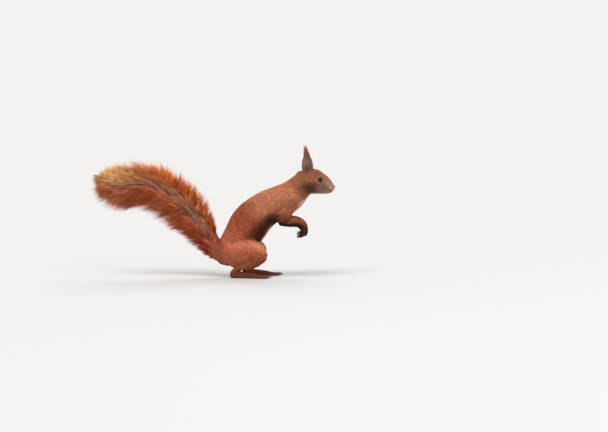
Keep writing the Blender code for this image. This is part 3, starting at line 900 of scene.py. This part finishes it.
def scattered(weight, count):
    """Roots spread over the skin, more where the weight is greater."""
    mass = np.cumsum(triangle_weights(weight))
    picks = (np.arange(count) + rng.random(count)) / count * mass[-1]
    triangle = np.minimum(np.searchsorted(mass, picks), len(skin_faces) - 1)
    a, b = rng.random(count), rng.random(count)
    fold = a + b > 1
    a, b = np.where(fold, 1 - a, a), np.where(fold, 1 - b, b)
    share = np.column_stack([1 - a - b, a, b])
    ids = skin_faces[triangle]

    def at(field):
        return (field[ids] * share.reshape(share.shape + (1,) * (field.ndim - 1))).sum(axis=1)

    map_place = (skin_map[triangle] * share[..., None]).sum(axis=1)
    return Roots(at(skin_points), unit(at(skin_normals)), unit(at(lie)), at(length), at(depth),
                 at(width), at(tint), map_place, strongest[ids[:, 0]])


def laid(places):
    """The skin's nearest points to the places, and its normals there."""
    found = [skin_tree.find_nearest(place)[:2] for place in places.tolist()]
    return np.array([spot for spot, _ in found]), np.array([normal for _, normal in found])


def tree_of_points(points):
    tree = KDTree(len(points))
    for number, point in enumerate(points):
        tree.insert(point, number)
    tree.balance()
    return tree


def locks_for(places):
    """For each place, the middle of the lock of hair that it belongs to, and the lock's number."""
    count = len(places)
    middles = places[rng.permutation(count)[: max(1, count // LOCK_SIZE)]]
    tree = tree_of_points(middles)
    numbers = np.array([tree.find(place)[1] for place in places.tolist()])
    return middles[numbers], numbers


# ---- the short coat
def bare():
    """Vertices where no hair grows: eyes, lips, nose, hollows of the ears and soles."""
    none = (around_eye < EYE_BARE) | (lips > 0.35) | (from_nose < NOSE_BARE)
    none |= (region("foot") > 0.5) & (outer_normals[:, 2] < -0.75) & (outer[:, 2] < 3 * MM)
    for side in SIDES:
        ear, facing = one_ear(side)
        none |= (ear > 0.6) & (facing > 0.55) & (outer_normals[:, 0] < 0.9)
    return none


def grow_short_coat():
    weight = density * ~bare()
    roots = scattered(weight, int(triangle_weights(weight).sum() / MM ** 2 * FULLNESS))
    count = len(roots.place)
    lock_place, lock = locks_for(roots.place)
    long = roots.length * rng.uniform(0.72, 1.18, count)
    high = roots.depth * rng.uniform(0.75, 1.2, count)
    widths = roots.width * rng.uniform(0.75, 1.25, count)
    side = unit(np.cross(roots.normal, roots.lie))
    yaw = rng.normal(0, 0.10, count) + 0.16 * mottle(roots.place, 7 * MM, 4)
    way = unit(roots.lie + side * yaw[:, None])
    lean = (lock_place - roots.place) * LOCK_PULL
    lean -= dot(lean, way)[:, None] * way
    lean = unit(lean) * np.minimum(norms(lean), LOCK_REACH)[:, None]
    start = roots.place - roots.normal * ROOT_SINK

    # Each tuft follows the skin in two steps, so that it bends round knees and fingers.
    half = 0.5 * (way * long[:, None] + lean)
    bend, bend_normal = laid(roots.place + half)
    half -= dot(half, bend_normal)[:, None] * bend_normal
    end, end_normal = laid(bend + half)
    middle = bend + bend_normal * (high * 0.8)[:, None]
    tip = end + end_normal * high[:, None]
    paths = np.stack([start, middle, tip], axis=1)
    paths[..., 2] = np.maximum(paths[..., 2], FLOOR_CLEARANCE)
    across = unit(np.cross(roots.normal, way))[:, None]

    lock_tone = 1 + 0.09 * rng.normal(size=lock.max() + 1)[lock]
    tone = lock_tone * (1 + 0.07 * rng.normal(size=count))
    warm = 0.05 * rng.normal(size=count)[:, None] * np.array((1.0, 0.1, -1.0))
    base = roots.colour * np.clip(tone, 0.6, 1.5)[:, None] * (1 + warm)
    colours = base[:, None] * TUFT_SHADES[:, None]
    tufts = Tufts(paths, across, roots.normal[:, None], widths, colours, roots.map)

    for name, members in GROUPS.items():
        chosen = np.isin(roots.strongest, [kinds.index(kind) for kind in members]).nonzero()[0]
        parts = math.ceil(len(chosen) / PIECE_LIMIT)
        for number, some in enumerate(np.array_split(chosen, parts)):
            piece = name if parts == 1 else f"{name}_{number + 1}"
            tuft_object(piece, picked(tufts, some), TUFT_PROFILE, fur_material,
                        SLOTS.get(name, "coat"))


# ---- ear tufts
def grow_ear_tufts():
    """Long hairs that rise from the upper edge of each ear and meet in a point."""
    low, high = (corner.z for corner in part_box("ear_left"))
    for side in SIDES:
        ear = one_ear(side)[0] > 0.5
        top = low + (high - low) * 0.52
        roots = scattered(ear * ramp(outer[:, 2], top, high - 8 * MM), EAR_TUFT)
        count = len(roots.place)
        own = welded(f"ear_{side}")[0]
        point = own[own[:, 2].argmax()] + np.array((-1.5, 0, 0)) * MM
        gap = point + rng.normal(0, 1.4 * MM, (count, 3)) * (1, 0.7, 1.5) - roots.place
        longest = EAR_TUFT_LENGTH * rng.uniform(0.75, 1.1, count)
        reach = np.minimum(norms(gap), longest)
        way = unit(gap)
        steps = np.array((0.0, 0.3, 0.65, 1.0))
        paths = roots.place[:, None] + way[:, None] * (reach[:, None] * steps)[..., None]
        paths += roots.normal[:, None] * (0.9 * MM * np.sin(steps * math.pi))[None, :, None]
        across = unit(np.cross(roots.normal, way))[:, None]
        tone = (1 + 0.14 * rng.normal(size=count))[:, None, None]
        shade = mixed(EAR_BACK, RUSSET, rng.random(count))[:, None]
        colours = shade * tone * EAR_TUFT_SHADES[:, None]
        widths = np.full(count, EAR_TUFT_WIDTH)
        tufts = Tufts(paths, across, roots.normal[:, None], widths, colours, roots.map)
        tuft_object(f"ear_tuft_{side}", tufts, EAR_TUFT_PROFILE, fur_material, "coat")


# ---- the brush
Locks = namedtuple("Locks", "share angle wispy fill tone hue sweep")
tail_tree = tree_of(*stacked([welded(name) for name in TAIL]))


def brush_frame(share, angle):
    """Place on the bone, its direction, and the outward direction at an angle round it."""
    index = np.interp(share, bone_shares, np.arange(len(bone)))
    low = np.floor(index).astype(int).clip(0, len(bone) - 2)
    place = mixed(bone[low], bone[low + 1], index - low)
    along = unit(mixed(bone_along[low], bone_along[low + 1], index - low))
    rise = np.cross(along, (0, 1, 0))
    rise *= np.sign(rise[:, 2:3] + 0.2 * rise[:, 0:1])
    outward = np.cos(angle)[:, None] * rise
    outward[:, 1] = np.sin(angle)
    return place, along, outward


def brush_sweep(share, angle, own):
    """How far hairs sweep towards the tip, with what each adds of its own."""
    sweep_shares, sweep_angles = np.array(SWEEP).T
    sweep = np.radians(np.interp(share, sweep_shares, sweep_angles)) + own
    return sweep + SIDE_SWEEP * ramp(np.abs(np.sin(angle)), 0.55, 0.95)


def brush_way(along, outward, sweep):
    return unit(np.cos(sweep)[:, None] * outward + np.sin(sweep)[:, None] * along)


def brush_reach(place, way):
    """How far it is from each place to the outline of the tail's solids."""
    found = np.full(len(place), BRUSH_REACH)
    for index, (spot, line) in enumerate(zip(place, way)):
        distance = tail_tree.ray_cast(spot + line * BRUSH_FAR, -line, BRUSH_FAR)[3]
        if distance is not None:
            found[index] = BRUSH_FAR - distance
    return found


def brush_locks():
    """The locks of the brush. Most spread up and down in the tail's own plane, and the rest
    stand out sideways. Some fan out to close the tip."""
    count = int(LOCKS * FULLNESS ** 0.5)
    kind = rng.random(count)
    upper = kind < 0.38
    lower = (kind >= 0.38) & (kind < 0.76)
    angle = np.where(upper, rng.normal(0, 0.42, count), rng.normal(math.pi, 0.42, count))
    angle = np.where(upper | lower, angle, rng.uniform(0, 2 * math.pi, count))
    share = 0.01 + 0.99 * (np.arange(count) + rng.random(count)) / count
    share = share ** 0.85
    rng.shuffle(share)
    closing = rng.random(count) < 0.14
    share = np.where(closing, 1 - 0.08 * rng.random(count), share)
    wispy = upper * ramp(share, 0.15, 0.4)
    fill = rng.uniform(0.98, 1.09, count)
    fill *= 1 - 0.13 * np.clip(mottle(brush_frame(share, angle)[0], 3.5 * MM, 7), 0, 1)
    tone = np.clip(1 + (0.22 + 0.10 * wispy) * rng.normal(size=count), 0.5, 1.7)
    hue = rng.random(count)
    fanned = np.where(closing, 60, 36 * ramp(share, 0.74, 0.92)) * rng.random(count)
    sweep = np.radians(rng.normal(0, 5, count) - fanned)
    return Locks(share, angle, wispy, fill, tone, hue, sweep)


def brush_colours(share, angle, sweep, tone, hue):
    """Colours that run from a grey root to a bright tip above, and stay deep below. The brightness
    above is partly the hairs' own tan tips and pale strands, and partly painted light shining through
    them from above.
    """
    # The upper side's share, which takes the pale strands and most of the tan end, partly as painted
    # light from above.
    above = ramp(np.cos(angle) * np.cos(sweep), -0.35, 0.35)
    lateral = ramp(np.abs(np.sin(angle)), 0.6, 0.95)
    near_base = 1 - ramp(share, 0.12, 0.34)
    near_end = ramp(share, 0.66, 0.93)
    pale = ramp(hue, 0.68, 0.95) * above * (1 - near_base) * (1 - lateral)
    red = ramp(-hue, -0.34, -0.05) * (1 - near_end)
    colours = []
    for upper, lower, part in zip(UPPER_HAIR, LOWER_HAIR, HAIR_STEPS):
        colour = mixed(lower, upper, above)
        colour = mixed(colour, BASE_RED, near_base * 0.75 * (part > 0.3))
        colour = mixed(colour, BASE_RED, red * 0.45 * part)
        colour = mixed(colour, PALE_STRAND, pale * 0.7 * part)
        colour = mixed(colour, SIDE_GREY, lateral * (0.9 - 0.5 * part))
        colour = mixed(colour, END_TAN, near_end * part * (0.12 + 0.88 * above))
        colours.append(colour * tone[:, None])
    return np.stack(colours, axis=1)


def tail_map_places(points):
    """The place on the skin's map of the tail's vertex that is nearest to each point."""
    tail_ids = (strongest == kinds.index("tail")).nonzero()[0]
    tree = tree_of_points(skin_points[tail_ids])
    vertex_map = np.zeros((len(skin_points), 2))
    vertex_map[skin_faces.ravel()] = skin_map[:len(skin_faces)].reshape(-1, 2)
    return vertex_map[tail_ids[[tree.find(point)[1] for point in points.tolist()]]]


def grow_brush():
    locks = brush_locks()
    owner = np.repeat(np.arange(len(locks.share)), int(LOCK_HAIRS * FULLNESS ** 0.5))
    count = len(owner)
    share = np.clip(locks.share[owner] + rng.normal(0, 0.008, count), 0.02, 1.0)
    angle = locks.angle[owner] + rng.normal(0, 0.12, count)
    wispy = locks.wispy[owner]
    place, along, outward = brush_frame(share, angle)
    sweep = brush_sweep(share, angle, locks.sweep[owner])
    way = brush_way(along, outward, np.clip(sweep, 0, FLATTEST))
    filled = locks.fill[owner] * rng.uniform(0.82 - 0.20 * wispy, 1.04)
    reach = brush_reach(place, way) * filled
    tips = place + way * reach[:, None]

    # Each hair bends towards the middle line of its lock.
    lock_place, lock_along, lock_outward = brush_frame(locks.share, locks.angle)
    lock_sweep = np.clip(brush_sweep(locks.share, locks.angle, locks.sweep), 0, FLATTEST)
    lock_way = brush_way(lock_along, lock_outward, lock_sweep)
    line_end = lock_place[owner] + lock_way[owner] * reach[:, None]
    tips = mixed(tips, line_end, rng.uniform(0.35, 0.75, count) + 0.15 * wispy)

    core_radius = np.interp(share, core_shares, core_radii) * MM
    start = place + outward * (core_radius * 0.7)[:, None]
    early = brush_way(along, outward, np.clip(sweep - EARLY_SWEEP, 0, None))
    gap = tips - start
    full = norms(gap)
    steps = []
    for part in (0.0, 0.34, 0.68, 1.0):
        bow = (full * (part * (1 - part)) * BOW)[:, None]
        steps.append(start + gap * part + early * bow - unit(gap) * bow)
    paths = np.stack(steps, axis=1)
    paths[:, 1:-1] += rng.normal(0, 0.35 * MM, (count, 2, 3))
    direction = unit(gap)
    across = unit(np.cross(direction, outward + 1e-6))[:, None]
    up = unit(np.cross(direction, across[:, 0]))[:, None] * -1

    tone = locks.tone[owner] * np.clip(1 + 0.10 * rng.normal(size=count), 0.7, 1.35)
    colours = brush_colours(share, angle, sweep, tone, locks.hue[owner])
    widths = BRUSH_WIDTH * rng.uniform(0.7, 1.3, count)
    hairs = Tufts(paths, across, up, widths, colours, tail_map_places(start))
    order = np.argsort(share)
    for number, some in enumerate(np.array_split(order, math.ceil(count / BRUSH_PIECE))):
        tuft_object(f"brush_{number + 1}", picked(hairs, some), BRUSH_PROFILE, brush_material,
                    "brush")


# ---- eyes
def ball(rows, turns):
    """A unit ball, its poles on the Z axis, with its triangles in a fixed order."""
    bm = bmesh.new()
    bmesh.ops.create_uvsphere(bm, u_segments=turns, v_segments=rows, radius=1)
    bmesh.ops.triangulate(bm, faces=bm.faces)
    points, faces = bmesh_form(bm)
    turned = (faces.argmin(axis=1)[:, None] + np.arange(3)) % 3
    faces = np.take_along_axis(faces, turned, axis=1)
    return points, faces[np.lexsort(faces.T)]


def make_eye(side):
    """A dark glossy eye, its iris hardly lighter than the wide pupil, with a low cornea."""
    middle, radius = eye_ball(side)
    points, faces = ball(48, 48)
    polar = np.degrees(np.arccos(np.clip(points[:, 2], -1, 1)))
    iris = ramp(polar, 24, 30) * (1 - ramp(polar, 46, 54))
    cornea = 1 + 0.035 * (1 - ramp(polar, 20, 52))
    turn = Vector(eye_axis[side]).to_track_quat("Z", "Y").to_matrix()
    place = (points * (cornea * radius)[:, None]) @ np.array(turn).T + middle
    obj = mesh_object(f"eyeball_{side}", place, faces)
    paint(obj, mixed(PUPIL, IRIS, iris))
    dress(obj, eye_material, "eye", [f"eye_{side}"])


# ---- nose
def make_nose():
    """The bare nose pad with its two nostrils and the groove below them."""
    points, faces = ball(40, 56)
    half = np.array((nose_high - nose_low) / 2)
    nostril = np.zeros(len(points))
    for sign in SIDES.values():
        away = points - unit(np.array((0.78, 0.58 * sign, -0.12)))
        nostril += np.exp(-(away[:, 0] ** 2 + away[:, 1] ** 2 + (away[:, 2] * 1.5) ** 2) / 0.055)
    groove = np.exp(-(points[:, 1] / 0.12) ** 2) * ramp(-points[:, 2], -0.1, 0.4)
    grown = points * (1 - 0.30 * nostril - 0.12 * groove)[:, None]
    # The pad is longer at the back only, so that it is set in the muzzle.
    place = nose_middle + grown * half * (1.15, 1.0, 1.0) - np.array((0.15 * half[0], 0, 0))
    dress(mesh_object("nose_pad", place, faces), nose_material, "nose", ["nose"])


# ---- whiskers
def whisker(seek, sink, way, reach, middle_share, droop, radius):
    """A fine tapering hair, rooted in the skin nearest to a place, which droops to its end."""
    spot, normal = skin_tree.find_nearest(Vector(seek))[:2]
    start = np.array(spot) - np.array(normal) * sink
    middle = start + way * reach * middle_share
    end = start + (way + droop) * reach
    t = np.linspace(0, 1, 9)[:, None]
    rows = start * (1 - t) ** 2 + middle * 2 * t * (1 - t) + end * t ** 2
    return tube(rows, radius * (1 - 0.88 * t[:, 0]), sides=5)


def make_whiskers():
    """Rows of whiskers on the muzzle, and a few hairs over each eye."""
    forms = []
    for side, sign in SIDES.items():
        droop = np.array((-0.30, 0.10 * sign, -0.16))
        for row in range(WHISKER_ROWS):
            for column in range(WHISKERS_IN_ROW):
                back = 4.5 + 2.1 * column + 0.5 * row
                seek = nose_middle + np.array((-back, 16 * sign, 2.6 - 1.9 * row)) * MM
                reach = (20 + 3.6 * column + 1.5 * rng.random()) * MM
                way = unit(np.array((-0.20 - 0.16 * column, 1.0 * sign, 0.30 - 0.26 * row)))
                forms.append(whisker(seek, 0.5 * MM, way, reach, 0.55, droop, 0.13 * MM))
        brow = eye_ball(side)[0]
        way = unit(np.array((-0.15, 0.75 * sign, 0.8)))
        droop = np.array((-0.5, 0.1 * sign, -0.1))
        for number in range(BROW_HAIRS):
            seek = brow + np.array((1.5 + 1.6 * number, 3 * sign, 8)) * MM
            reach = (13 + 2 * number) * MM
            forms.append(whisker(seek, 0.4 * MM, way, reach, 0.5, droop, 0.10 * MM))
    dress(mesh_object("whiskers", *stacked(forms)), whisker_material, "coat")


# ---- claws
def rooted(points, faces):
    """A claw made longer from its tip, so that its root is set in the skin."""
    tip = points[points[:, 2].argmin()]
    return tip + (points - tip) * CLAW_GROWTH, faces


def make_claws(paw, side, count):
    """The claws of a hand or a foot, rounded, in one piece."""
    nodes = [f"{paw}_{side}_claw_{number + 1}" for number in range(count)]
    obj = mesh_object(f"{paw}_claws_{side}", *stacked([rooted(*welded(node)) for node in nodes]))
    rounder = obj.modifiers.new("round", "SUBSURF")
    rounder.levels = rounder.render_levels = 2
    dress(obj, claw_material, "claw", nodes)


# ---- floor, lights and camera
def make_floor():
    """A pale floor that reaches past every view."""
    bpy.ops.mesh.primitive_plane_add(size=FLOOR_SIZE)
    floor = bpy.context.object
    floor.name = "floor"
    material = bpy.data.materials.new("floor")
    material.use_nodes = True
    settle(material.node_tree.nodes["Principled BSDF"],
           {"Base Color": (*FLOOR_COLOUR, 1), "Roughness": 0.9, "Specular IOR Level": 0.1})
    floor.data.materials.append(material)


def make_world():
    world = bpy.data.worlds.new("studio")
    world.use_nodes = True
    settle(world.node_tree.nodes["Background"],
           {"Color": (*WORLD_COLOUR, 1), "Strength": WORLD_STRENGTH})
    bpy.context.scene.world = world


def make_light(name, kind, place, size, power, colour):
    light = bpy.data.lights.new(name, kind)
    if kind == "SUN":
        light.angle = size
    else:
        light.shape = "DISK"
        light.size = size
    light.energy = power
    light.color = colour
    obj = scene_object(name, light)
    obj.location = place
    towards = Vector(LIGHT_TARGET) - Vector(place)
    obj.rotation_euler = towards.to_track_quat("-Z", "Y").to_euler()


def make_camera():
    camera = bpy.data.cameras.new("camera")
    camera.sensor_width = SENSOR
    camera.lens = SENSOR * VIEW_DISTANCE / VIEW_BREADTH
    camera.clip_start = 0.1
    camera.clip_end = 200
    obj = scene_object("camera", camera)
    back = Vector((0, -math.cos(VIEW_RISE), math.sin(VIEW_RISE)))
    obj.location = VIEW_TARGET + back * VIEW_DISTANCE
    obj.rotation_euler = (-back).to_track_quat("-Z", "Y").to_euler()
    bpy.context.scene.camera = obj


# ---- the pieces and the stage
grow_short_coat()
grow_ear_tufts()
grow_brush()
for side in SIDES:
    make_eye(side)
make_nose()
make_whiskers()
for side in SIDES:
    make_claws("hand", side, FINGERS)
    make_claws("foot", side, TOES)
make_floor()
make_world()
for light in LIGHTS:
    make_light(*light)
make_camera()
bpy.context.scene.view_settings.view_transform = "Standard"
